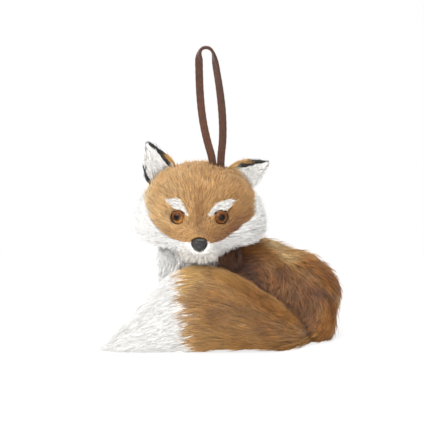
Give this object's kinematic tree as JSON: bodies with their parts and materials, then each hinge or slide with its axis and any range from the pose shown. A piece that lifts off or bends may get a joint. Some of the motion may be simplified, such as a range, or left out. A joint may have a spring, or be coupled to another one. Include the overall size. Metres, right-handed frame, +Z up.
{
  "type": "fox ornament",
  "caption": "Curled fox ornament in brown, tan and white fur fabric over foam cores, with amber eyes, dark edged ears, a flat base and a lace hanging loop",
  "frame": {"origin": "under the middle of the figure's footprint, on the surface it stands on", "axes": "+X to the viewer's right, from the tail's tip to the rump; +Y away from the viewer; +Z up"},
  "size_m": [0.105, 0.0621, 0.1292],
  "materials": {
    "brown_fur": "long pile, glossy fibres",
    "tan_fur": "short pile, brushed from the nose",
    "white_fur": "medium pile, soft",
    "ear_felt": "felt, dark edged",
    "foam": "expanded foam, unpainted",
    "peg_wood": "raw",
    "wire": "drawn",
    "eye_amber": "clear gloss",
    "eye_dark": "gloss",
    "nose_plastic": "satin",
    "felt": "pressed felt",
    "suede_lace": "imitation suede, napped",
    "glue": "set hot glue"
  },
  "bodies": {
    "root": {"body_core": "foam", "head_core": "foam", "tail_core": "foam", "base_felt": "felt", "neck_peg": "peg_wood", "tail_wire": "wire", "body_fur": "brown_fur", "nape_fur": "brown_fur", "tail_fur": "brown_fur", "tail_tip_fur": "white_fur", "chest_fur": "white_fur", "chin_fur": "white_fur", "cheek_fur_left": "white_fur", "cheek_fur_right": "white_fur", "brow_fur_left": "white_fur", "brow_fur_right": "white_fur", "mask_fur": "tan_fur", "ear_back_left": "ear_felt", "ear_back_right": "ear_felt", "ear_lining_left": "white_fur", "ear_lining_right": "white_fur", "eye_dome_left": "eye_amber", "eye_dome_right": "eye_amber", "eye_back_left": "eye_dark", "eye_back_right": "eye_dark", "nose": "nose_plastic", "hanging_loop": "suede_lace", "loop_plug": "glue"}
  },
  "joints": []
}
